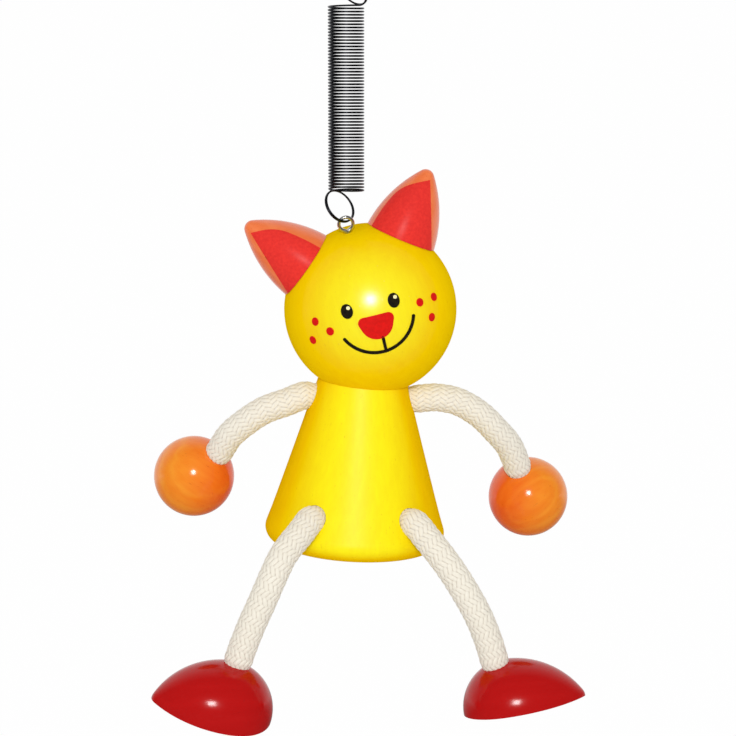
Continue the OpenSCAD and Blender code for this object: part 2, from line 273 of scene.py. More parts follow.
def makeLacquerFilm():
    # how a brushed or dipped lacquer lies: soft ripple, dust nibs and uneven gloss
    tree, get, out = newGroup("lacquerFilm", "ShaderNodeTree", {
        "Vector": (0.0, 0.0, 0.0), "Roughness": 0.3, "Ripple": 0.5, "Dust": 0.5,
    }, {"Roughness": "Float", "Height": "Float", "Speck": "Float"})
    place = get["Vector"]
    ripple = noise(tree, place, filmScale["ripple"], 2.0)
    fine = noise(tree, place, filmScale["fine"], 2.0)
    cells = put(tree, "ShaderNodeTexVoronoi", {"Vector": place, "Scale": filmScale["dustCells"]})
    chosen = first(tree, "ShaderNodeSeparateColor", {0: cells.outputs["Color"]})
    near = Field(tree, cells.outputs["Distance"]).ramp(*filmScale["dustEdge"])
    speck = near * chosen.ramp(*filmScale["dustRare"]) * get["Dust"]
    height = ripple * get["Ripple"] + fine * filmScale["fineHeight"]
    rough = get["Roughness"] + (fine - 0.5) * filmScale["fineRough"]
    connect(tree, out, {
        "Roughness": (rough + speck * filmScale["dustRough"]).clamp(),
        "Height": height + speck * filmScale["dustHeight"], "Speck": speck,
    })
    return tree


plait = {
    "strandsEachWay": 16, "lay": 0.028, "wave": 0.00013, "crown": 0.00026, "creviceShade": (0.75, 0.12),
    "radius": 0.00335, "borePinch": 0.0004, "pinchOver": 1.6, "pinchFrom": 0.6,
    "sides": 96, "step": 0.00026,
}


def plaitFields(along, around):
    # two sets of strands that cross, each over two and under two
    n = plait["strandsEachWay"]
    a = (along + around) * n
    b = (along - around) * n
    i = a.op("FLOOR")
    j = b.op("FLOOR")
    xa = a.op("FRACT") * 2 - 1
    xb = b.op("FRACT") * 2 - 1
    riseA = ((i + b - 1) * (pi / 2)).op("COSINE")
    riseB = ((j + a - 3) * (pi / 2)).op("COSINE")
    crownA = (xa * xa).flip().op("MAXIMUM", 0).op("SQRT")
    crownB = (xb * xb).flip().op("MAXIMUM", 0).op("SQRT")
    heightA = riseA * plait["wave"] + crownA * plait["crown"]
    heightB = riseB * plait["wave"] + crownB * plait["crown"]
    return {"a": a, "b": b, "i": i, "j": j, "xa": xa, "xb": xb, "A": heightA, "B": heightB}


# how the fibres lie in a strand, and what tells the strands and their dye apart
yarn = {
    "across": 3.4, "lean": 0.9, "along": 0.55, "apart": 3.1, "dyeApart": 0.83, "dyeAlong": 0.21,
    "seedA": 3.7, "seedB": 61.3, "strideB": 1.31,
}


def makePlaitedCotton():
    tree, get, out = newGroup("plaitedCotton", "ShaderNodeTree", {
        "Along": 0.0, "Around": 0.0, "Fuzz": 0.5,
    }, {"Crevice Shade": "Float", "Fibre": "Float", "Tone": "Float", "Height": "Float"})
    f = plaitFields(get["Along"], get["Around"])
    onTop = f["A"].op("GREATER_THAN", f["B"])
    high = f["A"].op("MAXIMUM", f["B"]) / (plait["wave"] + plait["crown"])
    across = f["xa"] * onTop + f["xb"] * onTop.flip()
    run = f["b"] * onTop + f["a"] * onTop.flip()
    strandB = f["j"] * yarn["strideB"] + yarn["seedB"]
    strand = (f["i"] + yarn["seedA"]) * onTop + strandB * onTop.flip()
    # the yarn's own twist leans the fibres a little across the strand
    lanes = first(tree, "ShaderNodeCombineXYZ", {
        0: across * yarn["across"] + run * yarn["lean"], 1: run * yarn["along"],
        2: strand * yarn["apart"],
    })
    fibre = noise(tree, lanes, 1.0, 4.0, 0.7)
    dye = first(tree, "ShaderNodeCombineXYZ", {
        0: strand * yarn["dyeApart"], 1: run * yarn["dyeAlong"],
    })
    connect(tree, out, {
        "Crevice Shade": high.ramp(*plait["creviceShade"]), "Fibre": fibre,
        "Tone": noise(tree, dye, 1.0, 1.0), "Height": fibre * get["Fuzz"],
    })
    return tree


wireScale = {
    "marks": (9000, 9000, 1500), "markRough": 0.12, "markTone": 0.5,
    "patches": 900.0, "patchRough": 0.1,
}


def makeDrawnWire():
    # draw marks that follow the wire, and a little patchy oxide
    tree, get, out = newGroup("drawnWire", "ShaderNodeTree", {
        "Vector": (0.0, 0.0, 0.0), "Roughness": 0.3, "Patches": 0.3,
    }, {"Roughness": "Float", "Tone": "Float", "Height": "Float"})
    place = get["Vector"]
    marks = noise(tree, place, wireScale["marks"], 3.0)
    patches = noise(tree, place, wireScale["patches"], 3.0)
    rough = get["Roughness"] + (marks - 0.5) * wireScale["markRough"]
    rough = rough + (patches - 0.5) * wireScale["patchRough"]
    tone = (marks * wireScale["markTone"] + patches * get["Patches"]).clamp()
    connect(tree, out, {"Roughness": rough.clamp(), "Tone": tone, "Height": marks})
    return tree


turnedWood = makeTurnedWood()
lacquerFilm = makeLacquerFilm()
plaitedCotton = makePlaitedCotton()
drawnWire = makeDrawnWire()
print("spring cat: shader groups ready")


# finishes

def bareTree(owner):
    owner.use_nodes = True
    owner.node_tree.nodes.clear()
    return owner.node_tree


def newMaterial(name):
    material = bpy.data.materials.new(name)
    tree = bareTree(material)
    shader = tree.nodes.new("ShaderNodeBsdfPrincipled")
    put(tree, "ShaderNodeOutputMaterial", {"Surface": shader.outputs[0]})
    return material, tree, shader


def centred(tree, centre, angles=(0, 0, 0)):
    # object coordinates moved to the piece's middle and turned to its own axis
    place = put(tree, "ShaderNodeTexCoord").outputs["Object"]
    return first(tree, "ShaderNodeMapping", {
        "Vector": place, "Location": centre, "Rotation": angles,
    }, vector_type="TEXTURE")


def shared(tree, group, place, look):
    # a shader group, with the values that the look gives for its inputs
    node = put(tree, "ShaderNodeGroup", {"Vector": place}, node_tree=group)
    connect(tree, node, {slot.name: look[slot.name] for slot in node.inputs if slot.name in look})
    return outlets(tree, node)


def lacqueredWood(name, look, centre, angles):
    material, tree, shader = newMaterial(name)
    place = centred(tree, centre, angles)
    wood = shared(tree, turnedWood, place, look)
    film = shared(tree, lacquerFilm, place, look)
    colour = wood["Tone"].mix(look["dark"], look["light"])
    colour = wood["Pore"].mix(colour, look["pore"])
    colour = (film["Speck"] * 0.5).mix(colour, look["pore"])
    # painted shade and painted rim reflection: towards the rim, where one looks along the surface,
    # the colour is multiplied darker and oranger on some looks and paler on others; the lacquer also
    # shines less there
    facing = Field(tree, put(tree, "ShaderNodeLayerWeight", {"Blend": 0.5}).outputs["Facing"])
    colour = facing.ramp(*look["depthFrom"]).mix(colour, look["deep"], "MULTIPLY")
    # painted shade: the piece is multiplied deeper towards one side, the hand's side that faces the
    # body
    if "shadeToward" in look:
        x, _, _ = apart(tree, put(tree, "ShaderNodeTexCoord").outputs["Object"])
        along = (x - centre[0]) * (look["shadeToward"] / look["shadeOver"])
        colour = along.ramp(*look["shadeFrom"]).mix(colour, look["shaded"], "MULTIPLY")
    height = wood["Height"] * look["grainDepth"] + film["Height"]
    connect(tree, shader, {
        "Base Color": colour, "Roughness": film["Roughness"],
        "Normal": height.bump(look["bump"]), "IOR": 1.5,
        "Specular IOR Level": facing.ramp(*look["glossFades"]).flip() * look["specular"],
    })
    return material


# each look's rim colour is painted light: darker and oranger for the yellows and the beech (painted
# shade), paler for the orange and the red (painted rim reflection)
yellowLook = {
    "dark": (0.92, 0.74, 0.0015), "light": (0.99, 0.89, 0.0025), "pore": (0.66, 0.36, 0.01),
    "Streak": 0.55, "Swirl": 0.12, "Ring Spacing": 0.0031, "Pores": 0.35,
    "Roughness": 0.25, "Ripple": 0.5, "Dust": 0.6, "grainDepth": 0.35,
    "bump": 0.00004, "specular": 0.7, "depthFrom": (0.04, 0.32),
    "deep": (1.0, 0.77, 0.5), "glossFades": (0.02, 0.4),
}
bodyLook = dict(
    yellowLook, Roughness=0.42, specular=0.2, depthFrom=(0.08, 0.5), deep=(0.98, 0.70, 0.5))
orangeLook = {
    "dark": (0.87, 0.18, 0.008), "light": (0.96, 0.36, 0.03), "pore": (0.5, 0.06, 0.01),
    "Streak": 0.4, "Swirl": 0.22, "Ring Spacing": 0.0034, "Pores": 0.5,
    "Roughness": 0.15, "Ripple": 0.4, "Dust": 0.5, "grainDepth": 0.3,
    "bump": 0.00004, "specular": 0.42, "depthFrom": (0.3, 0.9),
    "deep": (1.0, 0.95, 1.6), "glossFades": (0.5, 1.4),
}
earLook = dict(orangeLook, dark=(0.84, 0.15, 0.035), light=(0.94, 0.26, 0.09))
redLook = {
    "dark": (0.42, 0.004, 0.004), "light": (0.50, 0.007, 0.007), "pore": (0.2, 0.004, 0.004),
    "Streak": 0.35, "Swirl": 0.15, "Ring Spacing": 0.0035, "Pores": 0.3,
    "Roughness": 0.16, "Ripple": 0.45, "Dust": 0.5, "grainDepth": 0.25,
    "bump": 0.00004, "specular": 0.25, "depthFrom": (0.5, 1.0),
    "deep": (1.0, 1.5, 1.5), "glossFades": (0.5, 1.4),
}
beechLook = {
    "dark": (0.52, 0.34, 0.19), "light": (0.70, 0.51, 0.33), "pore": (0.3, 0.17, 0.08),
    "Streak": 0.8, "Swirl": 0.35, "Ring Spacing": 0.0018, "Pores": 0.9,
    "Roughness": 0.62, "Ripple": 0.1, "Dust": 0.2, "grainDepth": 1.0,
    "bump": 0.00005, "specular": 0.3, "depthFrom": (0.5, 1.0),
    "deep": (0.95, 0.93, 0.9), "glossFades": (0.5, 1.4),
}


def printedPaint(name, look):
    material, tree, shader = newMaterial(name)
    place = centred(tree, look["centre"])
    film = shared(tree, lacquerFilm, place, look)
    cover = noise(tree, place, look["coverScale"], 4.0)
    height = film["Height"] + cover * look["coverHeight"]
    connect(tree, shader, {
        "Base Color": cover.ramp(*look["coverFrom"]).mix(look["thin"], look["full"]),
        "Roughness": film["Roughness"], "Normal": height.bump(look["bump"]),
        "Specular IOR Level": look["specular"],
    })
    return material


headCentre = headMiddle * mm
facePaint = {
    "Roughness": 0.3, "Ripple": 0.5, "Dust": 0.3, "specular": 0.08, "centre": headCentre,
    "coverScale": 1400.0, "coverHeight": 0.3, "coverFrom": (0.35, 0.7), "bump": 0.00003,
}
paints = {
    "redPaint": {"thin": (0.62, 0.008, 0.006), "full": (0.76, 0.009, 0.007)},
    "earPaint": {"thin": (0.72, 0.03, 0.025), "full": (0.83, 0.04, 0.03)},
    "blackPaint": {"thin": (0.02, 0.014, 0.006), "full": (0.006, 0.006, 0.006)},
    "palePaint": {"thin": (0.86, 0.78, 0.35), "full": (0.95, 0.9, 0.6)},
}
redPaint, earPaint, blackPaint, palePaint = [
    printedPaint(name, dict(facePaint, **look)) for name, look in paints.items()]


def cottonCord(name, look):
    material, tree, shader = newMaterial(name)
    along, around, _ = apart(tree, first(tree, "ShaderNodeUVMap", uv_map="plait"))
    cotton = outlets(tree, put(tree, "ShaderNodeGroup", {
        "Along": along, "Around": around, "Fuzz": 1.0,
    }, node_tree=plaitedCotton))
    bright = cotton["Fibre"] * look["tones"] + cotton["Tone"] * look["tones"] - look["toneFrom"]
    colour = bright.clamp().mix(look["shade"], look["light"])
    # painted shade: the colour goes darker down between the strands
    colour = cotton["Crevice Shade"].mix(colour, look["creviceShade"])
    connect(tree, shader, {
        "Base Color": colour, "Roughness": cotton["Fibre"] * look["rougher"] + look["rough"],
        "Normal": cotton["Height"].bump(look["bump"]),
        "Specular IOR Level": look["specular"], "Sheen Weight": look["sheen"],
        "Sheen Roughness": look["sheenRoughness"],
    })
    return material


cordMaterial = cottonCord("cottonCord", {
    "light": (0.95, 0.91, 0.80), "shade": (0.84, 0.78, 0.66), "creviceShade": (0.55, 0.47, 0.38),
    "tones": 0.6, "toneFrom": 0.1, "rough": 0.72, "rougher": 0.2, "bump": 0.00012,
    "specular": 0.15, "sheen": 0.15, "sheenRoughness": 0.5,
})


def wireMaterial(name, look):
    material, tree, shader = newMaterial(name)
    place = centred(tree, look["centre"])
    wire = shared(tree, drawnWire, place, look)
    connect(tree, shader, {
        "Base Color": wire["Tone"].mix(look["dark"], look["light"]),
        "Roughness": wire["Roughness"], "Normal": wire["Height"].bump(look["bump"]),
        "Metallic": look["metallic"],
    })
    return material


springMaterial = wireMaterial("springSteel", {
    "centre": (0, 0, -0.029), "dark": (0.010, 0.010, 0.013), "light": (0.045, 0.047, 0.058),
    "Roughness": 0.34, "Patches": 0.5, "bump": 0.000004, "metallic": 1.0,
})
nickelMaterial = wireMaterial("nickelPlate", {
    "centre": (0, 0, -0.059), "dark": (0.62, 0.61, 0.59), "light": (0.88, 0.87, 0.84),
    "Roughness": 0.3, "Patches": 0.3, "bump": 0.000004, "metallic": 1.0,
})
print("spring cat: finishes ready")


# geometry tools

def pathObject(name, points, girths=None):
    mesh = bpy.data.meshes.new(name)
    mesh.from_pydata(points, [(k, k + 1) for k in range(len(points) - 1)], [])
    if girths is not None:
        mesh.attributes.new("girth", "FLOAT", "POINT").data.foreach_set("value", girths)
    return newObject(name + "Path", mesh)


def bakeTree(source, tree, values, name):
    # the tree's result as a plain mesh; the source and its modifier go
    modifier = source.modifiers.new(tree.name, "NODES")
    modifier.node_group = tree
    for item in tree.interface.items_tree:
        if item.item_type == "SOCKET" and item.in_out == "INPUT" and item.name in values:
            modifier[item.identifier] = values[item.name]
    mesh = evaluated(source)
    mesh.name = name
    piece = newObject(name, mesh)
    source.modifiers.clear()
    bpy.data.objects.remove(source)
    return piece


def ownAxis(tree, geometry, sides):
    # a sweep along the path's points, with the run and the turn round it kept
    curve = first(tree, "GeometryNodeMeshToCurve", {"Mesh": geometry})
    girth = first(tree, "GeometryNodeInputNamedAttribute", {"Name": "girth"}, data_type="FLOAT")
    run = put(tree, "GeometryNodeSplineParameter").outputs["Length"]
    keepRun = put(tree, "GeometryNodeCaptureAttribute", {0: curve})
    keepRun.capture_items.new("FLOAT", "run")
    feed(tree, keepRun.inputs[1], run)
    ring = first(tree, "GeometryNodeCurvePrimitiveCircle", {"Resolution": sides, "Radius": 1.0})
    turn = put(tree, "GeometryNodeSplineParameter").outputs["Factor"]
    keepTurn = put(tree, "GeometryNodeCaptureAttribute", {0: ring})
    keepTurn.capture_items.new("FLOAT", "turn")
    feed(tree, keepTurn.inputs[1], turn)
    swept = put(tree, "GeometryNodeCurveToMesh", {
        "Curve": keepRun.outputs[0], "Profile Curve": keepTurn.outputs[0],
        "Scale": girth, "Fill Caps": True,
    })
    return swept.outputs[0], Field(tree, keepRun.outputs[1]), Field(tree, keepTurn.outputs[1])


def finishTree(tree, out, mesh, material):
    smooth = first(tree, "GeometryNodeSetShadeSmooth", {"Geometry": mesh, "Shade Smooth": True})
    real = first(tree, "GeometryNodeRealizeInstances", {0: smooth})
    done = first(tree, "GeometryNodeSetMaterial", {"Geometry": real, "Material": material})
    feed(tree, out.inputs[0], done)


def pushOut(tree, mesh, height):
    normal = first(tree, "GeometryNodeInputNormal")
    offset = first(tree, "ShaderNodeVectorMath", {0: normal, "Scale": height}, operation="SCALE")
    return first(tree, "GeometryNodeSetPosition", {"Geometry": mesh, "Offset": offset})


def makeCordTree():
    tree, get, out = newGroup("plaitedCord", "GeometryNodeTree", {
        "Path": None, "Sides": plait["sides"], "Lay": plait["lay"], "Material": cordMaterial,
    }, {"Mesh": "Geometry"})
    mesh, run, turn = ownAxis(tree, get["Path"], get["Sides"])
    along = run / get["Lay"]
    f = plaitFields(along, turn)
    mesh = pushOut(tree, mesh, f["A"].op("MAXIMUM", f["B"]) - plait["crown"])
    # the last face round the cord closes from the last turn to one, not to nought
    middle = first(tree, "GeometryNodeFieldOnDomain", {0: turn}, data_type="FLOAT", domain="FACE")
    closing = (middle - turn).op("GREATER_THAN", 0.25)
    uv = first(tree, "ShaderNodeCombineXYZ", {0: along, 1: turn + closing})
    mesh = first(tree, "GeometryNodeStoreNamedAttribute", {
        "Geometry": mesh, "Name": "plait", "Value": uv,
    }, data_type="FLOAT2", domain="CORNER")
    finishTree(tree, out, mesh, get["Material"])
    return tree


def makeWireTree():
    # a bent wire, with a screw thread cut into its first stretch
    tree, get, out = newGroup("bentWire", "GeometryNodeTree", {
        "Path": None, "Sides": 16, "Thread Depth": 0.0, "Thread Pitch": 0.0005, "Thread End": 0.0,
        "Material": springMaterial,
    }, {"Mesh": "Geometry"})
    mesh, run, turn = ownAxis(tree, get["Path"], get["Sides"])
    phase = run / get["Thread Pitch"] + turn
    groove = ((phase.op("FRACT") - 0.5).op("ABSOLUTE") * 2).ramp(0.25, 0.95)
    cut = get["Thread End"].op("GREATER_THAN", run)
    mesh = pushOut(tree, mesh, groove * cut * get["Thread Depth"] * -1)
    finishTree(tree, out, mesh, get["Material"])
    return tree


coil = {
    "Turns": 59.25, "Radius": 0.00413, "Wire Radius": 0.00022, "Top": -0.00698337, "Length": 0.044,
    "Start Angle": radians(40), "Points": 1423, "Sides": 8,
    "Lean Above": 0.012, "Lean Below": -0.065, "Straight Turns": 1.5,
}


def makeCoilTree():
    inputs = dict({"Geometry": None}, **coil, Material=springMaterial)
    tree, get, out = newGroup("springCoil", "GeometryNodeTree", inputs, {"Mesh": "Geometry"})
    line = first(tree, "GeometryNodeCurvePrimitiveLine")
    line = first(tree, "GeometryNodeResampleCurve", {"Curve": line, "Count": get["Points"]})
    share = Field(tree, put(tree, "GeometryNodeSplineParameter").outputs["Factor"])
    angle = share * get["Turns"] * (2 * pi) + get["Start Angle"]
    # the turns lie a little aslant, but not next to the end loops
    fromEnd = share.op("MINIMUM", share.flip()) * get["Turns"] / get["Straight Turns"]
    lean = (get["Lean Above"] + (get["Lean Below"] - get["Lean Above"]) * share) * fromEnd.clamp()
    depth = angle.op("SINE") * get["Radius"]
    place = first(tree, "ShaderNodeCombineXYZ", {
        0: angle.op("COSINE") * get["Radius"], 1: depth,
        2: get["Top"] - share * get["Length"] + depth * lean,
    })
    line = first(tree, "GeometryNodeSetPosition", {"Geometry": line, "Position": place})
    ring = first(tree, "GeometryNodeCurvePrimitiveCircle", {
        "Resolution": get["Sides"], "Radius": get["Wire Radius"],
    })
    mesh = first(tree, "GeometryNodeCurveToMesh", {
        "Curve": line, "Profile Curve": ring, "Fill Caps": True,
    })
    finishTree(tree, out, mesh, get["Material"])
    return tree


cordTree = makeCordTree()
wireTree = makeWireTree()
coilTree = makeCoilTree()


# cords: their routes, in the body's own frame

cords = {
    "armCordLeft": {
        "node": "arm_rope_left", "end": "hand_left", "pivot": (-20, 0, 36),
        "route": [(-6, 0, 38), (-13, 0, 38), (-18.5, 0, 36), (-24, 0.5, 33.6), (-29, 1.5, 29.7),
                  (-32, 3, 26.3), (-34.5, 5.5, 21.5), (-38, 8.5, 17)],
    },
    "armCordRight": {
        "node": "arm_rope_right", "end": "hand_right", "pivot": (20, 0, 38.5),
        "route": [(6, 0, 38), (13, 0, 38), (18.5, 0, 38.5), (24, 0.5, 37.5), (29.5, 1, 34.5),
                  (34, 2, 30.4), (38, 4, 26), (41, 6.5, 20), (43.5, 9.5, 14.5)],
    },
    "legCordLeft": {
        "node": "leg_rope_left", "end": "foot_left", "pivot": (-17, -22.5, 6.5),
        "route": [(-7, -10, 11), (-12, -17, 11), (-15, -21, 8.5), (-19, -24.5, 4), (-21.4, -26, -1),
                  (-23.9, -26.5, -7.5), (-26.4, -26.5, -14), (-28.9, -26.5, -22.2),
                  (-30.4, -26.5, -28.7)],
    },
    "legCordRight": {
        "node": "leg_rope_right", "end": "foot_right", "pivot": (17, -22.5, 6.5),
        "route": [(7, -10, 11), (12, -17, 11), (15.5, -21, 8), (20, -24.5, 3), (24, -26, -2.5),
                  (28, -26.5, -9), (31, -26.5, -15.5), (33, -26.5, -21), (35.5, -26.5, -27)],
    },
}


def unit(v):
    return v / np.linalg.norm(v)


def routeLine(route, step):
    # the smooth line through a route, in even steps, and how far it runs in the wood
    p = np.array(route, float)
    last = len(p) - 1
    straight = np.linspace(0, 1, 20, endpoint=False)[:, None]

    def slope(i):
        if i == 1:
            return unit(p[1] - p[0]) * np.linalg.norm(p[2] - p[1])
        if i == last - 1:
            return unit(p[last] - p[last - 1]) * np.linalg.norm(p[i] - p[i - 1])
        return (p[i + 1] - p[i - 1]) / 2

    line = [p[0] + (p[1] - p[0]) * straight]
    s = straight
    for i in range(1, last - 1):
        line.append(
            (2 * s ** 3 - 3 * s ** 2 + 1) * p[i] + (s ** 3 - 2 * s ** 2 + s) * slope(i)
            + (3 * s ** 2 - 2 * s ** 3) * p[i + 1] + (s ** 3 - s ** 2) * slope(i + 1))
    line.append(p[last - 1] + (p[last] - p[last - 1]) * straight)
    line = np.concatenate(line + [p[last:]])
    run = np.concatenate([[0], np.cumsum(np.linalg.norm(np.diff(line, axis=0), axis=1))])
    count = int(run[-1] / step) + 1
    even = np.linspace(0, run[-1], count)
    points = np.stack([np.interp(even, run, line[:, k]) for k in range(3)], 1)
    return points, even, np.linalg.norm(p[1] - p[0]), np.linalg.norm(p[last] - p[last - 1])


def readPoints(mesh):
    co = np.zeros(len(mesh.vertices) * 3, np.float32)
    mesh.vertices.foreach_get("co", co)
    return co.reshape(-1, 3)


def makeCord(name, job):
    points, run, seatIn, seatOut = routeLine(job["route"], plait["step"] / mm)
    world = [tuple(onBody(q)) for q in points]
    # full in the open, squeezed from a little way outside the wood
    inside = np.maximum(seatIn - run, run - (run[-1] - seatOut)) + plait["pinchFrom"]
    inside = np.clip(inside / plait["pinchOver"], 0, 1)
    girths = plait["radius"] - plait["borePinch"] * inside * inside * (3 - 2 * inside)
    source = pathObject(name, world, girths.astype(np.float32))
    piece = bakeTree(source, cordTree, {"Material": cordMaterial}, name)
    # the head presses the cord flat in the neck
    co = readPoints(piece.data)
    away = co - np.array(headCentre)
    far = np.linalg.norm(away, axis=1)
    least = (figure["headRadius"] + figure["neckGap"]) * mm
    push = far < least
    co[push] += away[push] * (least / far[push] - 1)[:, None]
    piece.data.vertices.foreach_set("co", co.reshape(-1))
    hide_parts(job["node"])
    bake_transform(piece)
    print(f"spring cat: {name}, {run[-1]:.1f} mm of cord")


for cordName, cordJob in cords.items():
    makeCord(cordName, cordJob)


# spring and screw eye

def makeCoil():
    holder = newObject("coilHolder", bpy.data.meshes.new("coilHolder"))
    piece = bakeTree(holder, coilTree, dict(coil, Material=springMaterial), "coilWire")
    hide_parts("spring_coil")
    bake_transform(piece)


makeCoil()

endLoop = {
    "lean": 30, "turns": 1.9, "wire": 0.46, "strandStep": 0.3888, "stepFrom": 200, "stepOver": 130,
    "upperAngle": 40, "lowerAngle": 130,
}


def makeLoop(name, node, body, angle, z, way):
    a = radians(angle)
    lean = radians(endLoop["lean"])
    radius = coil["Radius"] / mm
    outward = Vector((cos(a), sin(a), 0))
    along = Vector((-sin(a), cos(a), 0))
    inward = -sin(lean) * outward + way * cos(lean) * Vector((0, 0, 1))
    x = -inward
    y = -way * along
    beside = -x.cross(y)
    middle = radius * outward + Vector((0, 0, z)) + radius * inward
    points = []
    # the second strand comes to lie beside the first
    for t in np.arange(0, 360 * endLoop["turns"] + 0.1, 4):
        s = min(max((t - endLoop["stepFrom"]) / endLoop["stepOver"], 0), 1)
        k = s * s * (3 - 2 * s)
        c = radians(t)
        points.append((middle + radius * (cos(c) * x + sin(c) * y)
                       + beside * k * endLoop["strandStep"]) * mm)
    source = pathObject(name, points, np.full(len(points), endLoop["wire"] / 2 * mm, np.float32))
    piece = bakeTree(source, wireTree, {"Sides": 14, "Material": springMaterial}, name)
    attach(piece, body)
    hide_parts(node)


top, bottom = coil["Top"] / mm, (coil["Top"] - coil["Length"]) / mm
makeLoop("upperLoopWire", "spring_top_loop", "hanger", endLoop["upperAngle"], top, 1)
makeLoop("lowerLoopWire", "spring_bottom_loop", "spring_end", endLoop["lowerAngle"], bottom, -1)

eyelet = {
    "middle": (-0.0907, 0.2355, -58.8296), "ring": 1.7, "wire": 0.425, "mouth": 36,
    "shank": 0.55, "shankLength": 9.0, "lean": 16.6, "point": 1.3, "pointShare": 0.2,
    "bendFrom": 0.12, "bendTo": 0.98, "gapFrom": 0.12, "gapTo": 0.86, "gapBehind": 0.02,
    "threadDepth": 0.00016, "threadPitch": 0.00055, "threadEnd": 0.0078,
}


def makeEyelet(size):
    turn = headTurn @ Matrix.Rotation(radians(size["lean"]), 3, "X")
    mouth = radians(size["mouth"])
    apex = -size["ring"] / cos(mouth)
    points, girths = [], []
    # up the shank from its point, once round the ring and back to the shank's top
    start = apex - size["shankLength"]
    for z in np.arange(start, apex - 0.25, 0.1):
        points.append((0, 0, z))
        girths.append(size["shank"] * min(1, size["pointShare"] + (z - start) / size["point"]))
    side = size["ring"] * sin(mouth)
    low = -size["ring"] * cos(mouth)
    bendFrom, bendTo = size["bendFrom"], size["bendTo"]
    for k in np.linspace(0, 1, 7):
        e = k * k * (3 - 2 * k)
        rise = bendFrom + (bendTo - bendFrom) * k
        points.append((side * k * bendTo, 0, apex + (low - apex) * rise))
        girths.append(size["shank"] + (size["wire"] - size["shank"]) * e)
    for t in np.linspace(mouth - pi / 2, 3 * pi / 2 - mouth, 64):
        points.append((size["ring"] * cos(t), 0, size["ring"] * sin(t)))
        girths.append(size["wire"])
    for k in np.linspace(size["gapFrom"], size["gapTo"], 6):
        points.append((-side * (1 - k), -size["gapBehind"] * k, low + (apex - low) * k))
        girths.append(size["wire"])
    world = [(Vector(size["middle"]) + turn @ Vector(p)) * mm for p in points]
    source = pathObject("screwEye", world, np.array(girths, np.float32) * np.float32(mm))
    piece = bakeTree(source, wireTree, {
        "Sides": 28, "Material": nickelMaterial, "Thread Depth": size["threadDepth"],
        "Thread Pitch": size["threadPitch"], "Thread End": size["threadEnd"],
    }, "screwEye")
    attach(piece, "figure")
    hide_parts("screw_eye")


makeEyelet(eyelet)
print("spring cat: wires bent")


# wooden parts and paint: the drawing's forms or own ones, with eased edges

edges = {"weld": 0.000002, "sharp": radians(28), "segments": 3}


def dress(node, name, material, ease, mesh=None, body="figure", reshape=None):
    mesh = mesh or cadNodes[node].data.copy()
    mesh.name = name
    if "custom_normal" in mesh.attributes:
        mesh.attributes.remove(mesh.attributes["custom_normal"])
    if reshape:
        mesh.vertices.foreach_set("co", reshape(readPoints(mesh)).astype(np.float32).reshape(-1))
    shape = bmesh.new()
    shape.from_mesh(mesh)
    bmesh.ops.remove_doubles(shape, verts=shape.verts, dist=edges["weld"])
    for side in shape.faces:
        side.smooth = True
    for edge in shape.edges:
        edge.smooth = edge.calc_face_angle(0) < edges["sharp"]
    shape.to_mesh(mesh)
    shape.free()
    mesh.materials.clear()
    mesh.materials.append(material)
    piece = newObject(name, mesh)
    if ease:
        bevel = piece.modifiers.new("easedEdge", "BEVEL")
        bevel.width = ease * mm
        bevel.segments = edges["segments"]
        bevel.limit_method = "ANGLE"
        bevel.angle_limit = edges["sharp"]
        bevel.harden_normals = True
    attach(piece, body)
    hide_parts(node)


cone = {"height": 42, "shorter": 1.0, "belowBores": 10, "wider": 0.028, "grainAt": (0, 0, 20)}
headYellow = lacqueredWood("headYellow", yellowLook, headCentre, headTurn.to_euler())
bodyYellow = lacqueredWood("bodyYellow", bodyLook, onBody(cone["grainAt"]), bodyTurn.to_euler())


def trueCone(co):
    # the photographed cone is a little shorter below the legs and wider at its foot
    turn, middle, seat = np.array(bodyTurn), np.array(headMiddle), np.array(figure["bodySeat"])
    p = (co / mm - middle) @ turn + seat
    p[:, 2] += cone["shorter"] * np.clip(1 - p[:, 2] / cone["belowBores"], 0, 1)
    p[:, :2] *= 1 + cone["wider"] * np.clip(1 - p[:, 2:] / cone["height"], 0, 1)
    return ((p - seat) @ turn.T + middle) * mm


dress("head", "headBall", headYellow, 0.1)
dress("body", "bodyCone", bodyYellow, 0.25, reshape=trueCone)

# the ears lean towards the viewer, so that the front of their foot shows on the ball,
# and their paint runs between an inner and an outer edge that meet at the tip
ears = {
    "back": -14, "spread": 40, "forward": 17, "wider": 1.035, "grainAt": 24,
    "paintLeft": 40, "paintRight": 62, "paintTip": (1.0, 34.77),
    "paintInner": (-6.88, 16.85), "paintOuter": (7.91, 18.55), "paintNarrows": 7,
}


